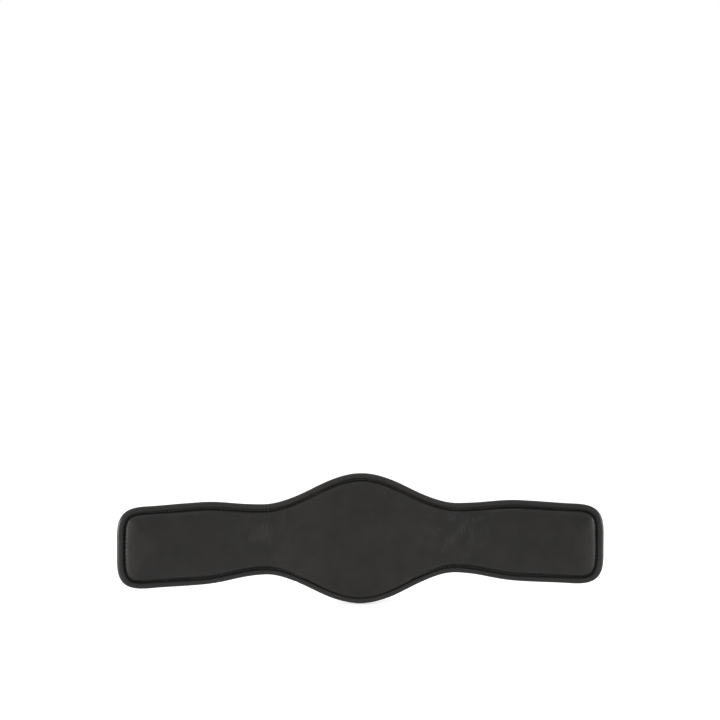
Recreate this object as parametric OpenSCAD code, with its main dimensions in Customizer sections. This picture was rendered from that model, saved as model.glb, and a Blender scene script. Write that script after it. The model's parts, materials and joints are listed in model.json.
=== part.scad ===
// Padded leather belly pad with a rolled edge, held on a girth strap by four snap keepers.
// X runs along the pad, Z up across its width, and -Y is the side that lies on the belly.
// The origin is the centre of the back cover's outer face, where the girth strap lies.
// Each wing is drawn flat, in line with the centre, and is then turned about its neck.

/* [Outline] */
// Length along the back cover, end to end
pad_length = 603; // [560:1:720]
// Height of the middle bulge
bulge_height = 162; // [130:1:200]
// Height of the necks beside the bulge
neck_height = 87; // [80:1:105]
// Height of the wings at their widest
wing_height = 100; // [96:1:124]
// Height of the ends
end_height = 95; // [92:1:120]
// Distance of each neck from the middle
neck_x = 122; // [105:1:135]
// Distance of each wing's widest place from the middle
wing_x = 201; // [180:1:225]
// How far the two upper corners reach along their sides
top_corner = 42; // [24:1:46]
// How far the two lower corners reach along their sides
bottom_corner = 46; // [24:1:46]
// Fullness of the corners: 2 is round and more is squarer
corner_power = 3.6; // [2:0.1:5]

/* [Wing bend] */
// Distance of each bend line from the middle
bend_x = 125; // [115:1:135]
// Bend of each wing at rest, from flat
rest_bend = 20; // [0:1:35]
// Further bend that each wing takes
more_bend = 30; // [10:1:40]
// Gap between two segments at the bend line
bend_gap = 0.4; // [0.3:0.1:1]

/* [Layers] */
// Thickness of the back cover
back_t = 2; // [1.5:0.1:3]
// How far the back cover is tucked in under the rolled edge
back_tuck = 2; // [1:0.5:4]
// Thickness of the load web
web_t = 2.5; // [1.5:0.1:4]
// Thickness of the belly panel's leather
panel_t = 1.5; // [1:0.1:2.5]
// Width of the flat sewing channel beside the rolled edge
channel_w = 4.6; // [3:0.1:6]
// Height of the padding over the channel
padding_h = 10.5; // [6:0.5:18]
// Distance over which the padding rises to its full height
padding_rise = 30; // [15:1:45]
// Outer radius of the rolled edge
roll_r = 3.2; // [2.8:0.1:4]
// Radius of the filler cord inside the rolled edge
cord_r = 2; // [1.2:0.1:2.2]
// Gap between the rolled edge and the layers beside it
roll_gap = 0.2; // [0.1:0.05:0.5]

/* [Keepers] */
// Distance of the two inner keepers from the middle
inner_keeper_x = 60; // [40:1:85]
// Distance of the two outer keepers from the middle
outer_keeper_x = 208; // [180:1:225]
// Width of a keeper strap
keeper_w = 26; // [20:1:32]
// Thickness of the keeper leather
keeper_t = 2; // [1.5:0.1:2.6]
// Width of girth strap that a keeper takes
girth_w = 52; // [40:1:56]
// Thickness of girth strap that a keeper takes
girth_t = 10; // [8:0.5:14]
// Height of the sewn end above the girth strap
sewn_h = 18; // [16:0.5:20]
// Height of the snap tab below the girth strap
tab_h = 16; // [14:0.5:18]
// Gap round a moving keeper strap
keeper_gap = 0.3; // [0.2:0.05:0.6]

/* [Snaps] */
// Radius of a snap's cap
cap_r = 6.5; // [5.5:0.1:7]
// Thickness of a snap's cap
cap_t = 1.4; // [1:0.1:2]
// Radius of the stud's foot and of the socket
snap_r = 5.5; // [5:0.1:6]
// Radius of the stud's knob
knob_r = 2.9; // [2.5:0.1:3.2]
// Gap between the knob and the socket
knob_gap = 0.4; // [0.3:0.05:0.6]
// Height of the socket ring
socket_t = 1.5; // [1:0.1:2]
// Thickness of the stud's foot
foot_t = 0.8; // [0.6:0.1:1.2]
// Radius of the rivet post through the back cover
post_r = 1.8; // [1.4:0.1:1.9]
// Radius of the rivet post's head
head_r = 4.2; // [3:0.1:4.5]
// Thickness of the rivet post's head
head_t = 0.9; // [0.6:0.1:1.2]

/* [Stitching] */
// Distance from one stitch to the next
stitch_pitch = 8; // [6:0.5:12]
// Length of a stitch
stitch_l = 5; // [3:0.5:5.5]
// Width and height of the thread
thread_d = 0.7; // [0.4:0.1:1]

/* [Hidden] */

LEFT = -1;
CENTRE = 0;
RIGHT = 1;

half_length = pad_length / 2;
end_tilt = (rest_bend + more_bend) / 2;  // each segment's cut face leans by this, so they meet at full bend
stitch_share = 0.36;                     // the stitches lie this share of the way across the channel
channel_in = 2 * roll_r + roll_gap;      // inset of the belly panel's edge and of the web's
stitch_in = channel_in + stitch_share * channel_w;
web_y = back_t + web_t;                  // depths below the back cover's outer face
channel_y = web_y + panel_t;
roll_y = back_t + roll_r;
foam_in = 2.5;                           // the foam starts this far inside the channel
foam_trim = 2;                           // rows and end columns of the panel's grid outside the foam
foam_shares = [0.82, 0.55];              // its inner rows, as shares of the foam's half height
panel_rows = 2 * (foam_trim + 1 + len(foam_shares)) + 1;
end_trim = 0.8;                          // the panel's straight end stops this far inside the curved end
side_cuts = 20;                          // stretches along each long side of the centre
wing_cuts = 12;                          // stretches along each straight side of a wing
corner_cuts = 8;                         // stretches round each corner
round_sides = 8;                         // sides of the rolled edge and of its cord
neck_power = 8;                          // how closely the leaning of a cut face keeps to the neck

keeper_y = keeper_t * 1.5 + keeper_gap;  // height of a keeper strap's turning line over the back cover
keeper_z = (girth_w + keeper_t) / 2;     // and over the middle of the pad
tab_y = foot_t + keeper_gap + socket_t;  // height of the snap tab's underside
tab_z = girth_w / 2 + keeper_t;          // the snap tab starts this far below the middle
snap_z = tab_z + tab_h / 2;
socket_hole_r = knob_r + knob_gap;
knob_top = tab_y + keeper_t / 2;
post_gap = 0.05;
post_short = 1;                          // the rivet post ends this far below the knob's top
keeper_edge = 2;                         // space beside the row of stitches on a sewn end
sewn_edge = 1.5;                         // space above the upper row
cap_shape = [[0, 0], [1, 0], [1, 0.3], [0.9, 0.65], [0.6, 0.92], [0, 1]];  // shares of radius and thickness
snap_sides = 48;
turn_sides = 32;
reach_through = 1;                       // a cutting shape goes this far past what it cuts

black_leather = [0.20, 0.20, 0.19];
grain_leather = [0.17, 0.17, 0.16];
foam = [0.45, 0.45, 0.42];
webbing = [0.30, 0.30, 0.28];
thread = [0.10, 0.10, 0.10];
nickel = [0.72, 0.72, 0.70];

// ---- outline ----

// An even swing from 0 to 1 as t goes from 0 to 1
function swing(t) = (1 - cos(180 * t)) / 2;

// Half the pad's height at x, before the corners are rounded
function half_height(x) =
    let (
        a = abs(x),
        past_neck = (a - neck_x) / (wing_x - neck_x),
        past_wing = (a - wing_x) / (half_length - wing_x),
        height = a < neck_x ? bulge_height + (neck_height - bulge_height) * swing(a / neck_x)
            : a < wing_x ? neck_height + (wing_height - neck_height) * swing(past_neck)
            : wing_height + (end_height - wing_height) * past_wing
    )
    height / 2;

// Slope of that outline at x, for x of 0 and over
function edge_slope(x) = (half_height(abs(x) + 0.5) - half_height(abs(x) - 0.5));

// Half the height of the outline moved in by d
function inset_height(x, d) = half_height(x) - d * sqrt(1 + pow(edge_slope(x), 2));

function side_stations(from, to, cuts) = [for (i = [0:cuts]) from + (to - from) * i / cuts];

// One corner of the right wing moved in by d, from the side (0) round to the end (90)
function corner(r, d, sign) = [
    for (i = [1:corner_cuts])
        let (
            a = 90 * i / corner_cuts,
            along = 2 / corner_power,
            out = [pow(sin(a), 2 - along), pow(cos(a), 2 - along)],
            drop = r - r * pow(cos(a), along) + d * out[1] / norm(out)
        )
        [
            half_length - r + r * pow(sin(a), along) - d * out[0] / norm(out),
            sign * (half_height(half_length - r) - drop)
        ]
];

function backwards(list) = [for (i = [len(list) - 1:-1:0]) list[i]];

// The right wing's edge moved in by d, from the upper neck round the end to the lower neck
function wing_side(r, d, sign) = concat(
    [for (x = side_stations(bend_x, half_length - r, wing_cuts)) [x, sign * inset_height(x, d)]],
    corner(r, d, sign)
);
function wing_edge(d) = concat(wing_side(top_corner, d, 1), backwards(wing_side(bottom_corner, d, -1)));

// One long side of the centre moved in by d
function centre_side(d, sign) = [
    for (x = side_stations(-bend_x, bend_x, side_cuts)) [x, sign * inset_height(x, d)]
];

// ---- the leaning cut at a segment's neck ----

function neck_cut(depth) = bend_gap / 2 + depth * tan(end_tilt);

// The place of a point, with the segment drawn in near its neck so that its cut face leans by end_tilt
function drawn_in(segment, x, depth, z) =
    let (
        reach = segment == CENTRE ? bend_x : half_length - bend_x,
        far = segment == CENTRE ? x : x - half_length,
        shift = neck_cut(depth) * pow(abs(far) / reach, neck_power)
    )
    [x - (far > 0 ? shift : -shift), -depth, z];

// Puts a segment in its place: the wings are bent forward about their necks
module place(segment) {
    mirror([segment == LEFT ? 1 : 0, 0, 0])
        translate([segment == CENTRE ? 0 : bend_x, 0, 0])
            rotate([0, 0, segment == CENTRE ? 0 : -rest_bend])
                translate([segment == CENTRE ? 0 : -bend_x, 0, 0])
                    children();
}

// Everything that a leaning neck cut takes away on the side x < bend_x
module neck_cutter() {
    translate([bend_x + bend_gap / 2, 0, -bulge_height])
        rotate([0, 0, end_tilt])
            translate([-pad_length, -pad_length, 0])
                cube([pad_length, 2 * pad_length, 2 * bulge_height]);
}

// A flat layer of the segment, moved in by d, from depth out to depth + t
module layer(segment, d, depth, t) {
    difference() {
        translate([0, -depth, 0])
            rotate([90, 0, 0])
                linear_extrude(height = t)
                    if (segment == CENTRE)
                        polygon(concat(centre_side(d, 1), backwards(centre_side(d, -1))));
                    else
                        polygon(wing_edge(d));
        if (segment == CENTRE) {
            translate([2 * bend_x, 0, 0]) mirror([1, 0, 0]) neck_cutter();
            mirror([1, 0, 0]) translate([2 * bend_x, 0, 0]) mirror([1, 0, 0]) neck_cutter();
        } else {
            neck_cutter();
        }
    }
}

// ---- rolled edge ----

// Points round the rolled edge, station by station, on flats that touch a circle of this radius
function roll_points(segment, radius, sign) =
    let (
        turns = [for (i = [0:round_sides - 1]) 360 * (i + 0.5) / round_sides],
        reach = radius / cos(180 / round_sides),
        lines = [
            for (a = turns)
                let (d = roll_r - reach * cos(a))
                segment == CENTRE ? centre_side(d, sign) : wing_edge(d)
        ]
    )
    [
        for (k = [0:len(lines[0]) - 1])
            for (i = [0:round_sides - 1])
                drawn_in(segment, lines[i][k][0], roll_y + reach * sin(turns[i]), lines[i][k][1])
    ];

// The faces of a tube wall whose rings start at point `first`, facing out or in
function wall_faces(first, rings, outward) = [
    for (k = [0:rings - 2])
        for (i = [0:round_sides - 1])
            let (
                a = first + k * round_sides + i,
                b = first + k * round_sides + (i + 1) % round_sides,
                c = b + round_sides,
                d = a + round_sides
            )
            each (outward ? [[a, b, c], [a, c, d]] : [[a, c, b], [a, d, c]])
];

// The ring of faces that closes a tube at one end, between the outer and the inner ring
function rim_faces(outer, inner, outward) = [
    for (i = [0:round_sides - 1])
        let (j = (i + 1) % round_sides)
        each (outward
            ? [[outer + i, outer + j, inner + j], [outer + i, inner + j, inner + i]]
            : [[outer + i, inner + j, outer + j], [outer + i, inner + i, inner + j]])
];

function ring_face(first, outward) = [
    outward ? [for (i = [0:round_sides - 1]) first + i] : [for (i = [round_sides - 1:-1:0]) first + i]
];

module roll_tube(segment, sign) {
    outer = roll_points(segment, roll_r, sign);
    inner = roll_points(segment, cord_r, sign);
    rings = len(outer) / round_sides;
    last = (rings - 1) * round_sides;
    way = sign > 0;
    polyhedron(
        points = concat(outer, inner),
        faces = concat(
            wall_faces(0, rings, way), wall_faces(len(outer), rings, !way),
            rim_faces(0, len(outer), !way), rim_faces(last, len(outer) + last, way)
        )
    );
}

module cord_rod(segment, sign) {
    points = roll_points(segment, cord_r, sign);
    rings = len(points) / round_sides;
    way = sign > 0;
    polyhedron(
        points = points,
        faces = concat(
            wall_faces(0, rings, way), ring_face(0, !way), ring_face((rings - 1) * round_sides, way)
        )
    );
}

// ---- padding ----

// Share of the full height at a distance inside the channel
function rise(t) = t <= 0 ? 0 : t >= padding_rise ? 1 : sqrt(1 - pow(1 - t / padding_rise, 2));

// The panel's half height at x, with the wing's corners
function panel_half(segment, r, x) =
    segment == CENTRE || x < half_length - r ? inset_height(x, channel_in)
    : lookup(x, concat(
        [[half_length - r, inset_height(half_length - r, channel_in)]],
        corner(r, channel_in, 1)
    ));

// Distances from the panel's end of the grid's last columns
end_steps = [0, channel_w, channel_w + foam_in, channel_w + 3 * foam_in, channel_w + 5 * foam_in];
panel_end = half_length - channel_in - end_trim;

function columns(segment) =
    segment == CENTRE
    ? side_stations(-bend_x, bend_x, side_cuts)
    : concat(
        side_stations(bend_x, half_length - max(top_corner, bottom_corner), wing_cuts),
        [for (e = backwards(end_steps)) panel_end - e]
    );

// The rows of the grid at a half height: edge, channel, foam's edge, then shares of the rest
function rows(half) =
    let (foam_half = half - channel_w - foam_in)
    concat([half, half - channel_w, foam_half], [for (share = foam_shares) share * foam_half]);

function column_rows(segment, x) =
    let (top = panel_half(segment, top_corner, x), low = panel_half(segment, bottom_corner, x))
    concat(
        [for (z = rows(top)) [z, top - z]],
        [[0, min(top, low)]],
        [for (z = backwards(rows(low))) [-z, low - z]]
    );

function pad_height(segment, x, inside) =
    padding_h * rise(inside - channel_w) * (segment == CENTRE ? 1 : rise(panel_end - x - channel_w));

// The grid of points of one side of a layer, raised over `depth`, leaving out `trim` rows and end columns
function padding_grid(segment, depth, padded, trim) =
    let (all = columns(segment), xs = [for (i = [0:len(all) - 1 - (segment == CENTRE ? 0 : trim)]) all[i]])
    [
        for (x = xs)
            let (line = column_rows(segment, x))
            for (j = [trim:len(line) - 1 - trim])
                let (h = padded ? pad_height(segment, x, line[j][1]) : 0)
                drawn_in(segment, x, depth + h, line[j][0])
    ];

function grid_faces(first, wide, long, outward) = [
    for (i = [0:long - 2])
        for (j = [0:wide - 2])
            let (a = first + i * wide + j, b = a + 1, c = b + wide, d = a + wide)
            each (outward ? [[a, b, c], [a, c, d]] : [[a, c, b], [a, d, c]])
];

// The border of a grid, in order
function grid_border(wide, long) = concat(
    [for (j = [0:wide - 2]) j],
    [for (i = [0:long - 2]) i * wide + wide - 1],
    [for (j = [wide - 1:-1:1]) (long - 1) * wide + j],
    [for (i = [long - 1:-1:1]) i * wide]
);

// A closed solid between two grids of the same size
module between(near, far, wide) {
    long = len(near) / wide;
    border = grid_border(wide, long);
    n = len(border);
    polyhedron(
        points = concat(near, far),
        faces = concat(
            grid_faces(0, wide, long, false),
            grid_faces(len(near), wide, long, true),
            [
                for (i = [0:n - 1])
                    let (a = border[i], b = border[(i + 1) % n])
                    each [[a, b, b + len(near)], [a, b + len(near), a + len(near)]]
            ]
        )
    );
}

// ---- the segments' pieces ----

module belly_panel(segment) {
    color(black_leather)
        place(segment)
            between(
                padding_grid(segment, web_y, true, 0),
                padding_grid(segment, channel_y, true, 0),
                panel_rows
            );
}

module foam_core(segment) {
    color(foam)
        place(segment)
            between(
                padding_grid(segment, web_y, false, foam_trim),
                padding_grid(segment, web_y, true, foam_trim),
                panel_rows - 2 * foam_trim
            );
}

module edge_roll(segment) {
    color(black_leather)
        place(segment) {
            roll_tube(segment, 1);
            if (segment == CENTRE)
                roll_tube(segment, -1);
        }
}

module edge_cord(segment) {
    color(webbing)
        place(segment) {
            cord_rod(segment, 1);
            if (segment == CENTRE)
                cord_rod(segment, -1);
        }
}

// The snap posts' places on a segment drawn flat
function snap_places(segment) = segment == CENTRE ? [-inner_keeper_x, inner_keeper_x] : [outer_keeper_x];

module at_snaps(segment) {
    for (x = snap_places(segment))
        translate([x, 0, -snap_z])
            rotate([-90, 0, 0])
                children();
}

module load_web(segment) {
    color(webbing)
        place(segment)
            difference() {
                layer(segment, channel_in, back_t, web_t);
                at_snaps(segment)
                    translate([0, 0, -back_t - head_t - post_gap])
                        cylinder(r = head_r + post_gap, h = head_t + web_t, $fn = snap_sides);
            }
}

module back_cover(segment) {
    color(grain_leather)
        place(segment)
            difference() {
                layer(segment, back_tuck, 0, back_t);
                at_snaps(segment)
                    translate([0, 0, -back_t - reach_through])
                        cylinder(r = post_r + post_gap, h = back_t + 2 * reach_through, $fn = snap_sides);
            }
}

// A stitch lying along a direction, on a face at y
module stitch(x, y, z, angle) {
    translate([x, y, z])
        rotate([0, -angle, 0])
            translate([-stitch_l / 2, -thread_d, -thread_d / 2])
                cube([stitch_l, thread_d, thread_d]);
}

// How far along a line each of its points is
function lengths(line, i = 0, so_far = 0) =
    i == len(line) - 1
    ? [so_far]
    : concat([so_far], lengths(line, i + 1, so_far + norm(line[i + 1] - line[i])));

// Evenly spread stitches along a line
module line_stitches(line) {
    along = lengths(line);
    last = len(line) - 1;
    xs = [for (i = [0:last]) [along[i], line[i][0]]];
    zs = [for (i = [0:last]) [along[i], line[i][1]]];
    count = floor(along[last] / stitch_pitch);
    for (i = [0:count - 1]) {
        at = along[last] * (i + 0.5) / count;
        from = [lookup(at - stitch_l / 2, xs), lookup(at - stitch_l / 2, zs)];
        to = [lookup(at + stitch_l / 2, xs), lookup(at + stitch_l / 2, zs)];
        middle = (from + to) / 2;
        stitch(middle[0], -channel_y, middle[1], atan2(to[1] - from[1], to[0] - from[0]));
    }
}

// The part of a line whose points lie between two places along the pad
function part_of(line, from, to) = [for (p = line) if (p[0] > from && p[0] < to) p];

module rim_stitching(segment) {
    clear = neck_cut(channel_y + thread_d) + thread_d;
    color(thread)
        place(segment)
            if (segment == CENTRE) {
                for (sign = [-1, 1])
                    line_stitches(part_of(centre_side(stitch_in, sign), clear - bend_x, bend_x - clear));
            } else {
                line_stitches(part_of(wing_edge(stitch_in), bend_x + clear, half_length));
            }
}

// ---- keepers ----

// Puts a keeper drawn at x = 0 on its segment: inner ones on the centre, outer ones on a wing
module at_keeper(side, outer) {
    if (outer)
        place(side) translate([outer_keeper_x, 0, 0]) children();
    else
        translate([side * inner_keeper_x, 0, 0]) children();
}

// A bar of the keeper's width, from (y0, z0) to (y1, z1)
module keeper_bar(y0, y1, z0, z1) {
    translate([-keeper_w / 2, y0, z0])
        cube([keeper_w, y1 - y0, z1 - z0]);
}

module keeper_strap(side, outer) {
    color(grain_leather)
        at_keeper(side, outer)
            difference() {
                union() {
                    translate([-keeper_w / 2, keeper_y, keeper_z])
                        rotate([0, 90, 0])
                            cylinder(r = keeper_t / 2, h = keeper_w, $fn = turn_sides);
                    keeper_bar(keeper_y, girth_t + keeper_t, girth_w / 2, tab_z);
                    keeper_bar(girth_t, girth_t + keeper_t, -tab_z, tab_z);
                    keeper_bar(tab_y, girth_t + keeper_t, -tab_z, -girth_w / 2);
                    keeper_bar(tab_y, tab_y + keeper_t, -tab_z - tab_h, -girth_w / 2);
                }
                translate([0, 0, -snap_z])
                    rotate([-90, 0, 0])
                        cylinder(r = socket_hole_r, h = tab_y + 2 * keeper_t, $fn = snap_sides);
            }
}

module keeper_sewn_end(side, outer) {
    color(grain_leather)
        at_keeper(side, outer)
            keeper_bar(0, keeper_t, girth_w / 2, girth_w / 2 + sewn_h);
}

module keeper_stitching(side, outer) {
    first = keeper_z + girth_t + keeper_t - keeper_y + stitch_l / 2;
    last = girth_w / 2 + sewn_h - sewn_edge;
    wide = keeper_w - 2 * keeper_edge;
    count = floor(wide / (stitch_l + thread_d));
    color(thread)
        at_keeper(side, outer)
            for (z = [first, last])
                for (i = [0:count - 1])
                    stitch(wide * ((i + 0.5) / count - 0.5), keeper_t + thread_d, z, 0);
}

module on_snap(side, outer) {
    at_keeper(side, outer)
        translate([0, 0, -snap_z])
            rotate([-90, 0, 0])
                children();
}

module snap_cap(side, outer) {
    color(nickel)
        on_snap(side, outer)
            translate([0, 0, tab_y + keeper_t])
                rotate_extrude($fn = snap_sides)
                    polygon([for (share = cap_shape) [cap_r * share[0], cap_t * share[1]]]);
}

module snap_socket(side, outer) {
    color(nickel)
        on_snap(side, outer)
            translate([0, 0, tab_y - socket_t])
                difference() {
                    cylinder(r = snap_r, h = socket_t, $fn = snap_sides);
                    translate([0, 0, -reach_through])
                        cylinder(r = socket_hole_r, h = socket_t + 2 * reach_through, $fn = snap_sides);
                }
}

module snap_stud(side, outer) {
    color(nickel)
        on_snap(side, outer)
            difference() {
                union() {
                    cylinder(r = snap_r, h = foot_t, $fn = snap_sides);
                    cylinder(r = knob_r, h = knob_top, $fn = snap_sides);
                }
                translate([0, 0, -reach_through])
                    cylinder(
                        r = post_r + post_gap, h = knob_top - post_short + reach_through, $fn = snap_sides
                    );
            }
}

module snap_post(side, outer) {
    color(nickel)
        on_snap(side, outer) {
            translate([0, 0, -back_t - head_t])
                cylinder(r = head_r, h = head_t, $fn = snap_sides);
            translate([0, 0, -back_t])
                cylinder(r = post_r, h = back_t + knob_top - post_short, $fn = snap_sides);
        }
}

belly_panel(CENTRE);  // centre_belly_panel
foam_core(CENTRE);  // centre_foam_core
edge_roll(CENTRE);  // centre_edge_roll
edge_cord(CENTRE);  // centre_edge_cord
load_web(CENTRE);  // centre_load_web
back_cover(CENTRE);  // centre_back_cover
rim_stitching(CENTRE);  // centre_rim_stitching
belly_panel(LEFT);  // left_belly_panel
foam_core(LEFT);  // left_foam_core
edge_roll(LEFT);  // left_edge_roll
edge_cord(LEFT);  // left_edge_cord
load_web(LEFT);  // left_load_web
back_cover(LEFT);  // left_back_cover
rim_stitching(LEFT);  // left_rim_stitching
belly_panel(RIGHT);  // right_belly_panel
foam_core(RIGHT);  // right_foam_core
edge_roll(RIGHT);  // right_edge_roll
edge_cord(RIGHT);  // right_edge_cord
load_web(RIGHT);  // right_load_web
back_cover(RIGHT);  // right_back_cover
rim_stitching(RIGHT);  // right_rim_stitching
keeper_strap(LEFT, true);  // left_outer_keeper_strap
keeper_sewn_end(LEFT, true);  // left_outer_keeper_sewn_end
keeper_stitching(LEFT, true);  // left_outer_keeper_stitching
snap_cap(LEFT, true);  // left_outer_snap_cap
snap_socket(LEFT, true);  // left_outer_snap_socket
snap_stud(LEFT, true);  // left_outer_snap_stud
snap_post(LEFT, true);  // left_outer_snap_post
keeper_strap(LEFT, false);  // left_inner_keeper_strap
keeper_sewn_end(LEFT, false);  // left_inner_keeper_sewn_end
keeper_stitching(LEFT, false);  // left_inner_keeper_stitching
snap_cap(LEFT, false);  // left_inner_snap_cap
snap_socket(LEFT, false);  // left_inner_snap_socket
snap_stud(LEFT, false);  // left_inner_snap_stud
snap_post(LEFT, false);  // left_inner_snap_post
keeper_strap(RIGHT, false);  // right_inner_keeper_strap
keeper_sewn_end(RIGHT, false);  // right_inner_keeper_sewn_end
keeper_stitching(RIGHT, false);  // right_inner_keeper_stitching
snap_cap(RIGHT, false);  // right_inner_snap_cap
snap_socket(RIGHT, false);  // right_inner_snap_socket
snap_stud(RIGHT, false);  // right_inner_snap_stud
snap_post(RIGHT, false);  // right_inner_snap_post
keeper_strap(RIGHT, true);  // right_outer_keeper_strap
keeper_sewn_end(RIGHT, true);  // right_outer_keeper_sewn_end
keeper_stitching(RIGHT, true);  // right_outer_keeper_stitching
snap_cap(RIGHT, true);  // right_outer_snap_cap
snap_socket(RIGHT, true);  // right_outer_snap_socket
snap_stud(RIGHT, true);  // right_outer_snap_stud
snap_post(RIGHT, true);  // right_outer_snap_post
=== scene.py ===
"""The looks of the padded belly pad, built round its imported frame.

Flat places are (x, depth, z): x along the pad from its middle, depth below the back cover's outer
face, toward the belly, and z up. posed() turns them into the row frame, with both wings bent forward.
Sizes are in metres.
"""
import json
import math

import bpy
import numpy as np
from mathutils import Matrix, Vector
from mathutils.geometry import delaunay_2d_cdt


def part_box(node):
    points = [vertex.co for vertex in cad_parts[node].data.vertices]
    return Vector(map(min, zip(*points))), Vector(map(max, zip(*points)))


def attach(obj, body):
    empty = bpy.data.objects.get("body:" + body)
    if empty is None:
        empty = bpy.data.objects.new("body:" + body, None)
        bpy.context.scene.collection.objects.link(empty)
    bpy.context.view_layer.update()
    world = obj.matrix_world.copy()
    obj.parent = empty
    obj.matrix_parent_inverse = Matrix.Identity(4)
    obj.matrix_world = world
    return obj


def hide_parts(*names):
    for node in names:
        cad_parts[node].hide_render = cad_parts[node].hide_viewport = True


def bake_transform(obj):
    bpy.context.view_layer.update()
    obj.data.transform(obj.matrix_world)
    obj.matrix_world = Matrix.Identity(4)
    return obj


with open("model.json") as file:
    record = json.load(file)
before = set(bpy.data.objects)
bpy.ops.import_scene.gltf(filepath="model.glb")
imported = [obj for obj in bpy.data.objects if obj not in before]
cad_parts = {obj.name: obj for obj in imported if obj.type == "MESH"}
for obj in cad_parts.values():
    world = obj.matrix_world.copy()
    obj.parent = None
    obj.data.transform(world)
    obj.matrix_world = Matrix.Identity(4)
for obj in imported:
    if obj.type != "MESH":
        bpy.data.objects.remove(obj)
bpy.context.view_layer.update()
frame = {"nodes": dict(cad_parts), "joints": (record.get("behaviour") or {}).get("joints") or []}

MM = 0.001

# ---- sizes, as the frame has them ----

JOINTS = {j["name"]: j for j in frame["joints"]}
BEND_X = JOINTS["right_wing_bends"]["pos_m"][0]
REST_BEND = -math.radians(JOINTS["right_wing_bends"]["range_deg"][0])
BEND_HALF = 30 * MM             # the leather bends over this much on each side of the bend line

HALF_LENGTH = 301.5 * MM
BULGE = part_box("centre_edge_roll")[1].z
NECK = 43.5 * MM                # half heights
WING = 50 * MM
END = 47.5 * MM
NECK_X = 122 * MM
WING_X = 201 * MM
TOP_CORNER = 42 * MM
BOTTOM_CORNER = 46 * MM
CORNER_FULLNESS = 3.6           # 2 is a round corner

BACK_T = -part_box("centre_back_cover")[0].y
ROLL_R = (-BACK_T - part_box("centre_edge_roll")[0].y) / 2
ROLL_DEPTH = BACK_T + ROLL_R    # of the roll's middle
WEB_DEPTH = -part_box("centre_load_web")[0].y
CORD_R = 2 * MM
PANEL_T = 1.5 * MM
CHANNEL_IN = 2 * ROLL_R + 0.2 * MM  # the sewn channel starts this far in from the outline,
STITCH_IN = CHANNEL_IN + 1.6 * MM   # and its stitches lie this far in
CHANNEL_LIFT = 0.9 * MM         # the stitches pull the panel down to this over the back cover
CHANNEL_DEPTH = BACK_T + PANEL_T + CHANNEL_LIFT
CHANNEL_FILL = 2.6 * MM         # the channel is shallower by this under the bulge,
BULGE_REACH = 82 * MM           # out to about here on each side
STITCH_PITCH = 5 * MM
PUCKER_PITCH = 3.7 * MM         # of the small puckers where the roll turns tightly

PAD_IN = STITCH_IN + 1 * MM     # the padding rises from here,
END_CROWDS = 0.9 * MM           # and from this much nearer the edge at the ends,
BULGE_CROWDS = 1.6 * MM         # and this much nearer along the bottom of the bulge
PAD_RISE = 30 * MM              # it is nearly flat this far in
PAD_SWELL = 1.6 * MM            # about what the cloth simulation adds at the middle
PAD_TOP = -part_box("centre_belly_panel")[0].y - PAD_SWELL
SWELL_MOST = 2.5 * MM           # no point of the panel swells more than this
SWELL_PRESSURE = 4
SWELL_FRAMES = 20

ROLL_FULLNESS = 3.0             # the roll's belly-side inner corner is squarer than a circle's (2)
WIDE_X = 56 * MM                # on the bulge's upper slopes the roll is widest and the channel fullest here,
WIDE_REACH = 20 * MM            # and over about this much on each side
WIDER = 0.24                    # the roll is wider by this share of its radius there and under the bulge,
END_WIDER = 0.15                # by this share at the pad's ends,
WAVY = 0.05                     # and by up to twice this share here and there
JOIN_X = 80 * MM                # the roll's two ends meet here, under the left slope of the bulge
JOIN_NICK = 0.4 * MM
STITCH_DIP = 0.10 * MM          # the roll dips this much at each stitch,
PUCKER = 0.10 * MM              # puckers this much in tight corners,
UNEVEN = 0.12 * MM              # and varies about this much along its length

SLACK = 0.35 * MM               # the panel's broad unevenness,
CREASE = 0.21 * MM              # its creases at the necks,
STITCH_PULL = 0.25 * MM         # and what each stitch pulls it down by

STEP = 2.5 * MM                 # between the points of the outline
ON_MIDDLE = 1e-7                # points nearer the middle line than this are on it
SIDES = {"left": -1, "right": 1}


# ---- outline and rest shape ----

def half_height(x):
    """Half the pad's height at x, before its corners."""
    bulge = NECK + (BULGE - NECK) * (1 + np.cos(math.pi * x / NECK_X)) / 2
    swell = NECK + (WING - NECK) * (1 - np.cos(math.pi * (x - NECK_X) / (WING_X - NECK_X))) / 2
    taper = WING + (END - WING) * (x - WING_X) / (HALF_LENGTH - WING_X)
    return np.where(x < NECK_X, bulge, np.where(x < WING_X, swell, taper))


def side_line(corner, sign):
    """One side of the right half: along the edge and round the corner, to the end's straight part."""
    x = np.arange(0, HALF_LENGTH - corner, 0.25 * MM)
    straight = np.c_[x, half_height(x)]
    a = np.linspace(0, math.pi / 2, 200)
    start = half_height(HALF_LENGTH - corner) - corner
    power = 2 / CORNER_FULLNESS
    turn = np.c_[HALF_LENGTH - corner + corner * np.sin(a) ** power, start + corner * np.cos(a) ** power]
    return np.r_[straight, turn] * [1, sign]


def even_points(line, spacing):
    """The line's points again, the same distance apart, with how far along it each one is."""
    along = np.r_[0, np.cumsum(np.linalg.norm(np.diff(line, axis=0), axis=1))]
    count = round(along[-1] / spacing)
    at = np.linspace(0, along[-1], count + 1)
    return np.c_[np.interp(at, along, line[:, 0]), np.interp(at, along, line[:, 1])], at


EDGE, ALONG = even_points(np.r_[side_line(TOP_CORNER, 1), side_line(BOTTOM_CORNER, -1)[::-1]], STEP)
_way = np.gradient(EDGE, axis=0)
_way[[0, -1], 1] = 0            # the outline is level where it crosses the middle
OUTWARD = np.c_[-_way[:, 1], _way[:, 0]] / np.linalg.norm(_way, axis=1)[:, None]


def inset(d):
    """The outline moved in by d."""
    return EDGE - OUTWARD * d


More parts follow.
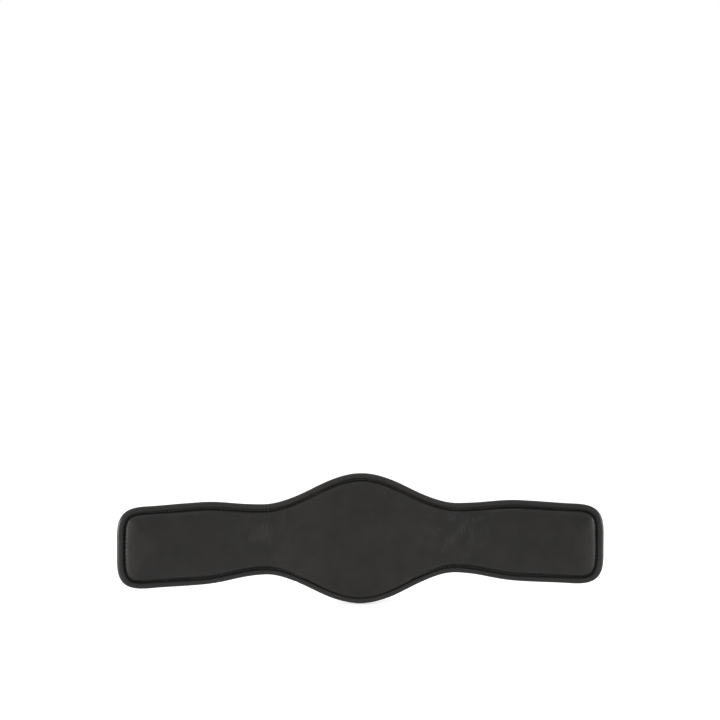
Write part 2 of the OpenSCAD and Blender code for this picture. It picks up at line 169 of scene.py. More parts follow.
def to_edge(points):
    """(distance in from the outline, how far along the outline) of (x, z) points of the right half."""
    a, b = EDGE[:-1], EDGE[1:]
    span = b - a
    distance, along = np.empty(len(points)), np.empty(len(points))
    batch = 4000
    for first in range(0, len(points), batch):
        p = points[first:first + batch, None]
        t = np.clip(((p - a) * span).sum(2) / (span ** 2).sum(1), 0, 1)
        gap = np.linalg.norm(p - a - t[..., None] * span, axis=2)
        best = gap.argmin(1)
        rows = np.arange(len(best))
        distance[first:first + batch] = gap[rows, best]
        along[first:first + batch] = ALONG[best] + t[rows, best] * STEP
    return distance, along


def posed(flat):
    """Flat places (x, depth, z) in the row frame: each wing turns forward along an arc at its neck."""
    flat = np.asarray(flat, float).reshape(-1, 3)
    side, x = np.where(flat[:, 0] < 0, -1, 1), np.abs(flat[:, 0])
    radius = BEND_HALF / math.tan(REST_BEND / 2)
    t = np.clip((x - BEND_X + BEND_HALF) / (2 * BEND_HALF), 0, 1)
    angle = t * REST_BEND
    past = np.maximum(x - BEND_X - BEND_HALF, 0)
    along = np.minimum(x, BEND_X - BEND_HALF) + radius * np.sin(angle) + past * math.cos(REST_BEND)
    forward = radius * (1 - np.cos(angle)) + past * math.sin(REST_BEND)
    along -= flat[:, 1] * np.sin(angle)
    forward += flat[:, 1] * np.cos(angle)
    return np.c_[side * along, -forward, flat[:, 2]]


def waves(points, lengths, seed):
    """Smooth unevenness from -1 to 1: crossed waves of these lengths with fixed random directions."""
    random = np.random.default_rng(seed)
    total = np.zeros(len(points))
    for length in lengths:
        for _ in range(3):
            turn, phase = random.uniform(0, 2 * math.pi, 2)
            total += np.sin(2 * math.pi / length * (points @ [math.cos(turn), math.sin(turn)]) + phase)
    return total / (3 * len(lengths))


# ---- meshes ----

def build(name, co, faces, group, seam=None):
    """A mesh that is smooth inside each group of faces and sharp between groups.
    seam marks points on the middle line, whose normals have no part along X, so both halves match."""
    me = bpy.data.meshes.new(name)
    me.from_pydata(co.tolist(), [], faces)
    me.update()
    face_normal = np.empty(len(me.polygons) * 3)
    me.polygons.foreach_get("normal", face_normal)
    area = np.empty(len(me.polygons))
    me.polygons.foreach_get("area", area)
    corner = np.empty(len(me.loops), int)
    me.loops.foreach_get("vertex_index", corner)
    sizes = np.empty(len(me.polygons), int)
    me.polygons.foreach_get("loop_total", sizes)
    face = np.repeat(np.arange(len(sizes)), sizes)
    key = corner * (max(group) + 1) + np.asarray(group)[face]
    total = np.zeros((key.max() + 1, 3))
    np.add.at(total, key, (face_normal.reshape(-1, 3) * area[:, None])[face])
    normal = total[key]
    if seam is not None:
        end_face = np.abs(normal[:, 0]) >= 0.9 * np.linalg.norm(normal, axis=1)
        normal[seam[corner] & ~end_face, 0] = 0
    normal /= np.maximum(np.linalg.norm(normal, axis=1), 1e-12)[:, None]
    me.polygons.foreach_set("use_smooth", [True] * len(me.polygons))
    me.normals_split_custom_set(normal.tolist())
    ob = bpy.data.objects.new(name, me)
    bpy.context.scene.collection.objects.link(ob)
    return ob


def border(faces):
    """The directed edges that only one face uses."""
    used = {}
    for f in faces:
        for a, b in zip(f, f[1:] + f[:1]):
            used[a, b] = True
    return [(a, b) for a, b in used if (b, a) not in used]


def shell(name, flat, faces, under):
    """A closed layer: the flat mesh as its belly side, and the same mesh at depth `under` as its other."""
    n = len(flat)
    low = flat.copy()
    low[:, 1] = under
    edge = border(faces)
    group = [0] * len(faces) + [1] * len(faces) + [2] * len(edge)
    everything = (
        [list(f) for f in faces]
        + [[i + n for i in reversed(f)] for f in faces]
        + [[b, a, a + n, b + n] for a, b in edge]
    )
    both = np.r_[flat, low]
    return build(name, posed(both), everything, group, np.abs(both[:, 0]) < ON_MIDDLE)


def plan(insets, spacing):
    """A flat mesh inside the right half's outline: a ring of quads from each inset to the next, and
    triangles inside the last. Returns (x, z) points and faces that look at the belly."""
    rings = [inset(d) for d in insets]
    m = len(EDGE)
    faces = [
        (k * m + i, (k + 1) * m + i, (k + 1) * m + i + 1, k * m + i + 1)
        for k in range(len(rings) - 1) for i in range(m - 1)
    ]
    last = rings[-1]
    count = max(2, round((last[0, 1] - last[-1, 1]) / spacing))
    middle = np.c_[np.zeros(count - 1), np.linspace(last[-1, 1], last[0, 1], count + 1)[1:-1]]
    x, z = np.meshgrid(np.arange(0.8 * spacing, HALF_LENGTH, spacing),
                       np.arange(-BULGE, BULGE, spacing * 0.866))
    x = x + (np.arange(len(z)) % 2)[:, None] * spacing / 2
    inner = np.c_[x.ravel(), z.ravel()]
    inner = inner[np.abs(inner[:, 1]) < half_height(inner[:, 0])]
    clear = to_edge(inner)[0] > insets[-1] + 0.6 * spacing
    inner = inner[clear & (inner[:, 0] < HALF_LENGTH - insets[-1])]
    points = np.r_[last, middle, inner]
    loop = list(range(m)) + list(range(m, m + len(middle)))
    sides = [(a, b) for a, b in zip(loop, loop[1:] + loop[:1])]
    found = delaunay_2d_cdt([Vector(p) for p in points.tolist()], sides, [], 1, 1e-9)
    first = (len(rings) - 1) * m
    where = {k: ids[0] for k, ids in enumerate(found[3]) if ids}
    for f in found[2]:
        a, b, c = (points[where[i]] for i in f)
        turn = (b[0] - a[0]) * (c[1] - a[1]) - (b[1] - a[1]) * (c[0] - a[0])
        f = [where[i] + first for i in f]
        faces.append(tuple(f if turn > 0 else reversed(f)))
    return np.r_[np.concatenate(rings[:-1]).reshape(-1, 2), points], faces


def mirrored(points, faces):
    """The other half of a plan."""
    return points * [-1, 1], [tuple(reversed(f)) for f in faces]


def halves(name, insets, spacing, near, under):
    """The left and right halves of a closed layer. near(points, distance) gives its belly side's depth."""
    points, faces = plan(insets, spacing)
    distance = to_edge(points)[0]
    depth = near(points, distance)
    made = {}
    for side, sign in SIDES.items():
        p, f = (points, faces) if sign > 0 else mirrored(points, faces)
        made[side] = shell(f"{side}_{name}", np.c_[p[:, 0], depth, p[:, 1]], [list(q) for q in f], under)
    return made


def tube(name, radius_at, side, turns):
    """One half's rolled edge or cord, with the radius that radius_at(angle, along, curve, side) gives."""
    angle = np.arange(turns) * 2 * math.pi / turns
    curve = np.gradient(np.unwrap(np.arctan2(OUTWARD[:, 1], OUTWARD[:, 0])), ALONG)
    rings = []
    for k in range(len(EDGE)):
        r = radius_at(angle, ALONG[k], curve[k], side)
        d = ROLL_R - r * np.cos(angle)
        at = EDGE[k] - np.outer(d, OUTWARD[k])
        rings.append(np.c_[SIDES[side] * at[:, 0], ROLL_DEPTH + r * np.sin(angle), at[:, 1]])
    flat = np.concatenate(rings)
    n = len(rings)
    faces, group = [], []
    for k in range(n - 1):
        for i in range(turns):
            j = (i + 1) % turns
            quad = [k * turns + i, (k + 1) * turns + i, (k + 1) * turns + j, k * turns + j]
            faces.append(quad if side == "right" else quad[::-1])
            group.append(0)
    for ring, way in ((0, 1), (n - 1, -1)):
        cap = [ring * turns + i for i in range(turns)]
        faces.append(cap if way * SIDES[side] > 0 else cap[::-1])
        group.append(1)
    return build(f"{side}_{name}", posed(flat), faces, group, np.abs(flat[:, 0]) < ON_MIDDLE)


def stitches(name, places, ways, up, length, radius, place=posed):
    """Short rounded threads. places, ways and up are flat: where each thread lies, which way it runs,
    and which way it bows."""
    rings, turns = 6, 7
    co, faces = [], []
    for p, w in zip(places, ways):
        w = w / np.linalg.norm(w)
        u = np.asarray(up, float)
        s = np.cross(w, u)
        first = len(co)
        for k in range(rings):
            t = k / (rings - 1) * 2 - 1
            r = radius * math.sqrt(max(1 - abs(t) ** 3, 0.08))
            middle = p + w * t * length / 2 + u * radius * (0.9 - 1.5 * t * t)
            for i in range(turns):
                a = 2 * math.pi * i / turns
                co.append(middle + r * (math.cos(a) * s + math.sin(a) * u))
        for k in range(rings - 1):
            for i in range(turns):
                a, b = first + k * turns + i, first + k * turns + (i + 1) % turns
                faces.append([a, b, b + turns, a + turns])
        faces.append([first + i for i in range(turns)][::-1])
        faces.append([first + (rings - 1) * turns + i for i in range(turns)])
    return build(name, place(np.array(co)), faces, [0] * len(faces))


def outward_faces(ob):
    """Turns every face of a closed mesh to look outward."""
    me = ob.data
    co = np.array([v.co for v in me.vertices])
    volume = 0
    for p in me.polygons:
        v = co[list(p.vertices)]
        for i in range(1, len(v) - 1):
            volume += np.dot(v[0], np.cross(v[i], v[i + 1]))
    if volume < 0:
        me.flip_normals()
    return ob


# ---- the belly side: a padded leather panel, swollen by cloth simulation ----

def bulge_low(points):
    """1 at the bottom of the bulge, where the padding crowds the channel, falling to 0 by the necks."""
    return np.exp(-(points[:, 0] / BULGE_REACH) ** 4) * (points[:, 1] < 0)


def channel_depth(points):
    """Depth of the sewn channel: it is shallower along the bottom of the bulge and its upper slopes."""
    low = bulge_low(points)
    slope = np.exp(-((np.abs(points[:, 0]) - WIDE_X) / WIDE_REACH) ** 2) * (points[:, 1] > 0)
    return CHANNEL_DEPTH + CHANNEL_FILL * (low + 0.5 * slope)


def pad_depth(points, distance):
    """Depth of the belly side at (x, z) points: the sewn channel, then padding with a steep shoulder,
    which is softer at the pad's ends."""
    end = np.clip((np.abs(points[:, 0]) - WING_X) / (HALF_LENGTH - WING_X - 30 * MM), 0, 1) ** 2
    past = distance - PAD_IN + END_CROWDS * end + BULGE_CROWDS * bulge_low(points)
    t = np.clip(past / PAD_RISE, 0, 1)
    far = np.clip(past / (2.3 * PAD_RISE), 0, 1)
    shoulder = (1 - (1 - t) ** 2.1) ** (0.34 + 0.12 * end)
    rise = 0.88 * shoulder + 0.12 * np.sin(far * math.pi / 2)
    base = channel_depth(points)
    return base + (PAD_TOP - base) * rise


def swell(ob, held):
    """Blows the panel up like a filled leather cover, with its sewn edge held, and returns its points."""
    start = np.array([v.co for v in ob.data.vertices])
    group = ob.vertex_groups.new(name="sewn")
    group.add([int(i) for i in np.flatnonzero(held)], 1, "REPLACE")
    cloth = ob.modifiers.new("swell", "CLOTH")
    cloth.settings.quality = 6
    cloth.settings.mass = 0.1
    cloth.settings.tension_stiffness = 25
    cloth.settings.compression_stiffness = 25
    cloth.settings.shear_stiffness = 12
    cloth.settings.bending_stiffness = 4
    cloth.settings.vertex_group_mass = "sewn"
    cloth.settings.use_pressure = True
    cloth.settings.uniform_pressure_force = SWELL_PRESSURE
    cloth.settings.effector_weights.gravity = 0
    cloth.collision_settings.use_collision = False
    cloth.point_cache.frame_start, cloth.point_cache.frame_end = 1, SWELL_FRAMES
    for f in range(1, SWELL_FRAMES + 1):
        bpy.context.scene.frame_set(f)
    done = ob.evaluated_get(bpy.context.evaluated_depsgraph_get())
    moved = np.array([v.co for v in done.data.vertices]) - start
    ob.modifiers.remove(cloth)
    bpy.context.scene.frame_set(1)
    edges = np.array([e.vertices[:] for e in ob.data.edges])
    shared = np.bincount(edges.ravel(), minlength=len(moved))[:, None]
    for _ in range(5):          # evens out the small buckles, and leaves the broad swell
        near = np.zeros_like(moved)
        np.add.at(near, edges[:, 0], moved[edges[:, 1]])
        np.add.at(near, edges[:, 1], moved[edges[:, 0]])
        moved = np.where(held[:, None], moved, (moved + near / shared) / 2)
    far = np.linalg.norm(moved, axis=1)
    moved *= (SWELL_MOST * np.tanh(far / SWELL_MOST) / np.maximum(far, 1e-9))[:, None]
    return start + moved


def belly_flat():
    """The belly side's flat places and faces, both halves in one mesh."""
    walls = np.array([0, 0.15, 0.4, 0.8, 1.4, 2.3, 3.6, 5.6]) * MM
    channel = [
        CHANNEL_IN - 0.8 * MM, CHANNEL_IN,
        STITCH_IN - 0.8 * MM, STITCH_IN,
        PAD_IN - 0.8 * MM,
    ]
    points, faces = plan(np.r_[channel, PAD_IN + walls], 4.2 * MM)
    distance = to_edge(points)[0]
    n = len(points)
    middle = np.abs(points[:, 0]) < ON_MIDDLE
    other = np.where(middle, np.arange(n), 0)
    other[~middle] = n + np.arange((~middle).sum())
    whole = np.r_[points, points[~middle] * [-1, 1]]
    distance = np.r_[distance, distance[~middle]]
    faces = [list(f) for f in faces] + [[int(other[i]) for i in reversed(f)] for f in faces]
    flat = np.c_[whole[:, 0], pad_depth(whole, distance), whole[:, 1]]
    ob = build("belly_form", flat * [1, -1, 1], faces, [0] * len(faces))
    for v, co in zip(ob.data.vertices, swell(ob, distance < PAD_IN)):
        v.co = co
    sub = ob.modifiers.new("smooth", "SUBSURF")
    sub.levels = 1
    done = ob.evaluated_get(bpy.context.evaluated_depsgraph_get()).data
    flat = np.array([v.co for v in done.vertices]) * [1, -1, 1]
    faces = [list(p.vertices) for p in done.polygons]
    bpy.data.objects.remove(ob)
    return flat, faces


def worn(flat):
    """Unevenness of soft leather: slack, creases across each neck, and the pull of each stitch."""
    distance, along = to_edge(np.c_[np.abs(flat[:, 0]), flat[:, 2]])
    face = flat[:, [0, 2]]
    past = distance - PAD_IN
    slack = SLACK * waves(face, [0.09, 0.055, 0.03], 3) * np.clip(past / (6 * MM), 0, 1)
    neck = np.exp(-((np.abs(flat[:, 0]) - NECK_X - 2 * MM) / (24 * MM)) ** 2)
    lean = flat[:, 0] + 0.12 * flat[:, 2]
    ripple = np.sin(2 * math.pi * (lean / (7.3 * MM) + 0.5 * waves(face, [0.02, 0.035], 5)))
    ripple += 0.7 * np.sin(2 * math.pi * (lean / (10.7 * MM) + 0.6 * waves(face, [0.03], 7)))
    reach = np.exp(-np.maximum(past - 4 * MM, 0) / (16 * MM)) * np.clip(past / (3 * MM), 0, 1)
    creases = CREASE * ripple * neck * (0.2 + reach)
    pull = STITCH_PULL * np.exp(-((past - 1.2 * MM) / (1.6 * MM)) ** 2)
    pull *= np.cos(2 * math.pi * along / STITCH_PITCH)
    out = flat.copy()
    out[:, 1] += slack + creases - pull
    return out


def belly_panels():
    """The panel's two halves, split along the middle line."""
    flat, faces = belly_flat()
    flat[np.abs(flat[:, 0]) < 0.01 * MM, 0] = 0
    flat = worn(flat)
    made = {}
    for side, sign in SIDES.items():
        mine = [f for f in faces if sum(flat[i, 0] for i in f) * sign > 0]
        used = sorted({i for f in mine for i in f})
        new = {old: k for k, old in enumerate(used)}
        part = flat[used]
        under = np.maximum(part[:, 1] - PANEL_T, BACK_T + 0.02 * MM)
        made[side] = shell(f"{side}_belly_leather", part, [[new[i] for i in f] for f in mine], under)
    return made


belly = belly_panels()


# ---- the rolled edge and its cord ----

JOIN = ALONG[np.flatnonzero((EDGE[:, 1] < 0) & (EDGE[:, 0] < JOIN_X))[0]]


def roll_radius(angle, along, curve, side):
    """The rolled edge is a little uneven, dips at each stitch, and puckers where it turns tightly."""
    inner = np.maximum(-np.cos(angle), 0)
    front_in = (np.cos(angle) < 0) & (np.sin(angle) > 0)
    power = np.where(front_in, ROLL_FULLNESS, 2)
    full = (np.abs(np.cos(angle)) ** power + np.abs(np.sin(angle)) ** power) ** (-1 / power)
    x, z = np.interp(along, ALONG, EDGE[:, 0]), np.interp(along, ALONG, EDGE[:, 1])
    wide = WIDER * math.exp(-((x - WIDE_X) / WIDE_REACH) ** 2) * (z > 0)
    wide += END_WIDER * np.clip((x - 255 * MM) / (30 * MM), 0, 1)
    wide += WIDER * np.clip((JOIN_X - x) / (10 * MM), 0, 1) * (z < 0)
    wavy = 1 + math.sin(along * 47) * math.sin(along * 29 + 2)
    wide += WAVY * wavy * min(1, x / (4 * WIDE_REACH))
    full = full * (1 + wide * inner ** 2)
    front = np.maximum(np.sin(angle + 0.5), 0)
    dip = STITCH_DIP * inner * math.cos(2 * math.pi * along / STITCH_PITCH)
    tight = min(abs(curve) * 22 * MM, 1)
    pucker = PUCKER * tight * math.sin(2 * math.pi * along / PUCKER_PITCH) * front
    uneven = UNEVEN * (math.sin(along * 61) + math.sin(along * 137 + 1)) * (1 + np.sin(angle)) / 2
    if side == "left":
        uneven = uneven - JOIN_NICK * math.exp(-((along - JOIN) / STEP) ** 2)
    off_middle = min(1, along / STEP, (ALONG[-1] - along) / STEP)
    return ROLL_R * full + (uneven - dip + pucker) * off_middle


roll = {side: tube("rolled_edge", roll_radius, side, turns=24) for side in SIDES}
cord = {side: tube("filler_cord", lambda a, *_: np.full_like(a, CORD_R), side, turns=10) for side in SIDES}


# ---- layers behind ----

def back_depth(points, distance):
    """The back cover's outer face: a sewn line pressed in, a soft edge, and flat elsewhere."""
    line = 0.55 * MM * np.exp(-((distance - STITCH_IN) / (0.7 * MM)) ** 2)
    edge = 0.9 * MM * np.clip(1 - (distance - 2 * MM) / (1.2 * MM), 0, 1) ** 2
    return line + edge


def back_covers():
    """The back cover's halves. Its outer face is drawn as the shell's far side, so the sides swap."""
    insets = np.array([2, 2.4, 3.2, 5, 6.6, 7.2, 7.7, STITCH_IN / MM, 8.8, 9.4, 11, 14]) * MM
    points, faces = plan(insets, 6 * MM)
    outer = back_depth(points, to_edge(points)[0])
    made = {}
    for side, sign in SIDES.items():
        p, f = (points, faces) if sign > 0 else mirrored(points, faces)
        flat = np.c_[p[:, 0], np.full(len(p), BACK_T), p[:, 1]]
        made[side] = shell(f"{side}_back_leather", flat, [list(q) for q in f], outer)
    return made


back = back_covers()
web = halves(
    "web", [PAD_IN + 1.6 * MM, PAD_IN + 4 * MM], 9 * MM,
    lambda p, d: np.full(len(p), WEB_DEPTH - 0.05 * MM), BACK_T,
)
foam = halves(
    "foam", [PAD_IN + 2.4 * MM, PAD_IN + 4 * MM, PAD_IN + 6 * MM], 7 * MM,
    lambda p, d: np.maximum(pad_depth(p, d) - PANEL_T - 1.2 * MM, WEB_DEPTH + 0.6 * MM), WEB_DEPTH,
)


def rim_stitches(side, up, name):
    """The line of stitches in the channel, or where it comes out on the back."""
    at = np.arange(STITCH_PITCH / 2, ALONG[-1], STITCH_PITCH)
    line = inset(STITCH_IN)
    x, z = np.interp(at, ALONG, line[:, 0]), np.interp(at, ALONG, line[:, 1])
    way = np.gradient(line, axis=0)
    wx, wz = np.interp(at, ALONG, way[:, 0]), np.interp(at, ALONG, way[:, 1])
    sign = SIDES[side]
    sunk = channel_depth(np.c_[x, z]) if up > 0 else 0.5 * MM
    places = np.c_[sign * x, np.full(len(at), sunk), z]
    ways = np.c_[sign * wx, np.zeros(len(at)), wz]
    return outward_faces(stitches(f"{side}_{name}", places, ways, (0, up, 0), 3.6 * MM, 0.36 * MM))


front_thread = {side: rim_stitches(side, 1, "channel_stitches") for side in SIDES}
back_thread = {side: rim_stitches(side, -1, "back_stitches") for side in SIDES}


# ---- keepers ----

SEWN_LOW, SEWN_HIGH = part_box("left_inner_keeper_sewn_end")
STRAP_LOW, STRAP_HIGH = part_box("left_inner_keeper_strap")
CAP_LOW, CAP_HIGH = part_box("left_inner_snap_cap")
KNOB_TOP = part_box("left_inner_snap_stud")[1].y
KEEPER_T = SEWN_HIGH.y
KEEPER_HALF = (SEWN_HIGH.x - SEWN_LOW.x) / 2
HINGE_Y, HINGE_Z = JOINTS["left_inner_keeper_opens"]["pos_m"][1:]
BAND_Y = STRAP_HIGH.y - KEEPER_T / 2
TAB_Y = CAP_LOW.y - KEEPER_T / 2
SNAP_Z = (CAP_LOW.z + CAP_HIGH.z) / 2
CAP_R = (CAP_HIGH.x - CAP_LOW.x) / 2
INNER_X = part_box("right_inner_keeper_strap")[0].x + KEEPER_HALF
_outer = JOINTS["right_outer_keeper_opens"]["pos_m"]
OUTER_X = BEND_X + math.sqrt((_outer[0] - BEND_X) ** 2 + _outer[1] ** 2 - HINGE_Y ** 2)
THREAD_R = 0.33 * MM
THREAD_LENGTH = 2.6 * MM


def rounded(points, radius, step):
    """A path through (y, z) points with its bends rounded, its points about a step apart."""
    out = [np.array(points[0], float)]
    for before, here, after in zip(points, points[1:], points[2:]):
        p = np.array(here, float)
        a, b = np.array(before) - p, np.array(after) - p
        la, lb = np.linalg.norm(a), np.linalg.norm(b)
        reach = min(radius, 0.45 * la, 0.45 * lb)
        start, end = p + a / la * reach, p + b / lb * reach
        for t in np.linspace(0, 1, 9):
            out.append((1 - t) ** 2 * start + 2 * t * (1 - t) * p + t * t * end)
    out.append(np.array(points[-1], float))
    return even_points(np.array(out), step)


KEEPER_PATH, KEEPER_ALONG = rounded(
    [(KEEPER_T / 2, SEWN_HIGH.z), (KEEPER_T / 2, HINGE_Z + 0.6 * MM), (HINGE_Y, HINGE_Z), (BAND_Y, HINGE_Z),
     (BAND_Y, -HINGE_Z), (TAB_Y, -HINGE_Z), (TAB_Y, STRAP_LOW.z)],
    radius=3 * MM, step=1 * MM,
)


def keeper_place(x):
    """Turns places (across, out, z) of a keeper into the row frame. `out` is away from the back."""
    def place(local):
        local = np.asarray(local, float).reshape(-1, 3)
        return posed(np.c_[local[:, 0] + x, -local[:, 1], local[:, 2]])
    return place


def keeper_strap(name, x):
    """A leather strap with rounded ends and eased edges, swept along the keeper's path."""
    way = np.gradient(KEEPER_PATH, axis=0)
    way /= np.linalg.norm(way, axis=1)[:, None]
    outward = np.c_[-way[:, 1], way[:, 0]]
    across = np.r_[-1, -0.97, -0.88, -0.5, 0, 0.5, 0.88, 0.97, 1]
    thick = np.array([0.55, 0.85, 1, 1.02, 1.03, 1.02, 1, 0.85, 0.55]) * KEEPER_T / 2
    section = list(zip(across, thick)) + list(zip(across[::-1], -thick[::-1]))
    co = []
    for p, n, s in zip(KEEPER_PATH, outward, KEEPER_ALONG):
        half = KEEPER_HALF
        for end, r in ((s, 3 * MM), (KEEPER_ALONG[-1] - s, 9 * MM)):
            if end < r:
                half = min(half, KEEPER_HALF - r + math.sqrt(max(r * r - (r - end) ** 2, 0)))
        for a, t in section:
            q = p + n * t
            co.append((a * half, q[0], q[1]))
    m = len(section)
    n = len(KEEPER_PATH)
    faces = [
        [k * m + i, k * m + (i + 1) % m, (k + 1) * m + (i + 1) % m, (k + 1) * m + i]
        for k in range(n - 1) for i in range(m)
    ]
    faces += [list(range(m))[::-1], [(n - 1) * m + i for i in range(m)]]
    group = [0] * ((n - 1) * m) + [1, 1]
    return outward_faces(build(name, keeper_place(x)(np.array(co)), faces, group))


def keeper_thread(name, places, ways, x):
    """Stitches on the outer face of the keeper at x."""
    thread = stitches(name, np.array(places), ways, (0, 1, 0), THREAD_LENGTH, THREAD_R, keeper_place(x))
    return outward_faces(thread)


def sewn_box(name, x):
    """A box of stitches with a cross in it on the keeper's sewn end."""
    half = KEEPER_HALF - 3.5 * MM
    low, high = SEWN_HIGH.z - 9.5 * MM, SEWN_HIGH.z - 2.5 * MM
    corners = [np.array(c) for c in ((-half, low), (half, low), (half, high), (-half, high))]
    rows = [(0, 1), (1, 2), (2, 3), (3, 0), (0, 2), (1, 3)]
    places, ways = [], []
    for first, last in rows:
        a, b = corners[first], corners[last]
        count = max(1, round(np.linalg.norm(b - a) / (3.4 * MM)))
        for i in range(count):
            p = a + (b - a) * (i + 0.5) / count
            places.append((p[0], KEEPER_T + 0.05 * MM, p[1]))
            ways.append(np.array([(b - a)[0], 0, (b - a)[1]]))
    return keeper_thread(name, places, ways, x)


def band_stitches(name, x):
    """A line of stitches down each edge of the band that goes over the girth strap."""
    at = np.arange(-HINGE_Z + 5 * MM, HINGE_Z - 4 * MM, 3.6 * MM)
    across = KEEPER_HALF - 3 * MM
    places = [(s * across, STRAP_HIGH.y + 0.03 * MM, z) for s in (-1, 1) for z in at]
    ways = [np.array([0, 0, 1.0])] * len(places)
    return keeper_thread(name, places, ways, x)


def lathe(name, profile, x, turns=48):
    """A turned metal piece on the snap's axis. The profile is (radius, height over the back cover)."""
    co = [(0, profile[0][1], SNAP_Z)]
    for r, h in profile[1:-1]:
        for i in range(turns):
            a = 2 * math.pi * i / turns
            co.append((r * math.cos(a), h, SNAP_Z + r * math.sin(a)))
    co.append((0, profile[-1][1], SNAP_Z))
    rings = len(profile) - 2
    faces, group = [], []
    slope = [math.atan2(b[1] - a[1], b[0] - a[0]) for a, b in zip(profile, profile[1:])]
    bend = [0] + [abs(math.remainder(b - a, 2 * math.pi)) > 0.9 for a, b in zip(slope, slope[1:])]
    band = np.cumsum(bend)
    for i in range(turns):
        j = (i + 1) % turns
        faces.append([0, 1 + j, 1 + i])
        group.append(int(band[0]))
        for k in range(rings - 1):
            a, b = 1 + k * turns, 1 + (k + 1) * turns
            faces.append([a + i, a + j, b + j, b + i])
            group.append(int(band[k + 1]))
        a = 1 + (rings - 1) * turns
        faces.append([a + i, a + j, len(co) - 1])
        group.append(int(band[-1]))
    return outward_faces(build(name, keeper_place(x)(np.array(co)), faces, group))


def cap_profile():
    """A pressed cap: a flat underside, a rolled rim, a shallow step and a domed middle."""
    rim, low, high = 0.55 * MM, CAP_LOW.y, CAP_HIGH.y
    points = [(0, low), (CAP_R - rim, low)]
    points += [
        (CAP_R - rim + rim * math.sin(a), low + rim - rim * math.cos(a))
        for a in np.linspace(0.3, 2.6, 7)
    ]
    step, ledge = CAP_R - 1.7 * MM, low + 0.78 * MM
    points += [(step + 0.25 * MM, low + 0.72 * MM), (step, ledge)]
    points += [
        (step * math.cos(a), ledge + (high - ledge) * math.sin(a))
        for a in np.linspace(0.15, 1.4, 8)
    ]
    return points + [(0, high)]


def stud_profile():
    """A stud: a thin foot with an eased edge, a waist, and a rounded knob."""
    foot, knob, waist = 5.5 * MM, 2.9 * MM, 2.35 * MM
    points = [(0, 0.02 * MM), (foot - 0.3 * MM, 0.02 * MM), (foot, 0.25 * MM)]
    points += [(foot - 0.15 * MM, 0.6 * MM), (foot - 0.8 * MM, 0.78 * MM)]
    points += [(waist + 0.3 * MM, 0.85 * MM), (waist, 1.2 * MM)]
    middle = KNOB_TOP - 1.1 * MM
    points += [(waist, middle - 0.75 * MM)]
    points += [
        (knob - 0.5 * MM + 0.5 * MM * math.cos(a), middle + 0.6 * MM * math.sin(a))
        for a in np.linspace(-1, 1.2, 7)
    ]
    return points + [(1.2 * MM, KNOB_TOP - 0.15 * MM), (0, KNOB_TOP)]


# ---- materials ----

def material(name, colour, roughness, metallic=0.0, specular=0.5):
    """A material, its node tree and its shader."""
    mat = bpy.data.materials.new(name)
    mat.use_nodes = True
    shader = mat.node_tree.nodes["Principled BSDF"]
    shader.inputs["Base Color"].default_value = (*colour, 1)
    shader.inputs["Roughness"].default_value = roughness
    shader.inputs["Metallic"].default_value = metallic
    shader.inputs["Specular IOR Level"].default_value = specular
    return mat, mat.node_tree, shader


def node(tree, kind, **values):
    """A shader node, with each value set on the input or the property of that name."""
    made = tree.nodes.new(kind)
    for key, value in values.items():
        if key in made.inputs:
            made.inputs[key].default_value = value
        else:
            setattr(made, key, value)
    return made


def place_of(tree):
    """Object coordinates, which are the row frame's."""
    return node(tree, "ShaderNodeTexCoord").outputs["Object"]


def ranged(tree, value, across, to=(0.0, 1.0), kind="LINEAR"):
    """A socket's value mapped from one range to another."""
    span = node(tree, "ShaderNodeMapRange", interpolation_type=kind)
    span.inputs["From Min"].default_value, span.inputs["From Max"].default_value = across
    span.inputs["To Min"].default_value, span.inputs["To Max"].default_value = to
    tree.links.new(value, span.inputs["Value"])
    return span.outputs["Result"]


def worked(tree, operation, *terms):
    """The result of a math node on sockets and numbers."""
    made = node(tree, "ShaderNodeMath", operation=operation)
    for socket, term in zip(made.inputs, terms):
        if isinstance(term, float):
            socket.default_value = term
        else:
            tree.links.new(term, socket)
    return made.outputs[0]


def varied(tree, shader, where, scale, low, high, socket, seed=0.0):
    """Lets a noise of this scale vary a socket from low to high."""
    noise = node(tree, "ShaderNodeTexNoise", Scale=scale, Detail=4.0, Roughness=0.6)
    shift = node(tree, "ShaderNodeVectorMath", operation="ADD")
    shift.inputs[1].default_value = (seed, seed, seed)
    tree.links.new(where, shift.inputs[0])
    tree.links.new(shift.outputs[0], noise.inputs["Vector"])
    if isinstance(low, tuple):
        ramp = node(tree, "ShaderNodeMix", data_type="RGBA")
        a, b = [i for i in ramp.inputs if i.type == "RGBA"]
        a.default_value, b.default_value = (*low, 1), (*high, 1)
        tree.links.new(noise.outputs["Fac"], ramp.inputs["Factor"])
        tree.links.new([o for o in ramp.outputs if o.type == "RGBA"][0], shader.inputs[socket])
    else:
        tree.links.new(ranged(tree, noise.outputs["Fac"], (0.3, 0.7), (low, high)), shader.inputs[socket])


def shades(colour, dark, light):
    """A darker and a lighter shade of a colour."""
    return tuple(c * dark for c in colour), tuple(c * light for c in colour)


def bumps(tree, shader, heights):
    """Chains bumps of (height socket, strength, distance) into the shader's normal."""
    before = None
    for height, strength, distance in heights:
        bump = node(tree, "ShaderNodeBump", Strength=strength, Distance=distance)
        tree.links.new(height, bump.inputs["Height"])
        if before is not None:
            tree.links.new(before.outputs["Normal"], bump.inputs["Normal"])
        before = bump
    tree.links.new(before.outputs["Normal"], shader.inputs["Normal"])


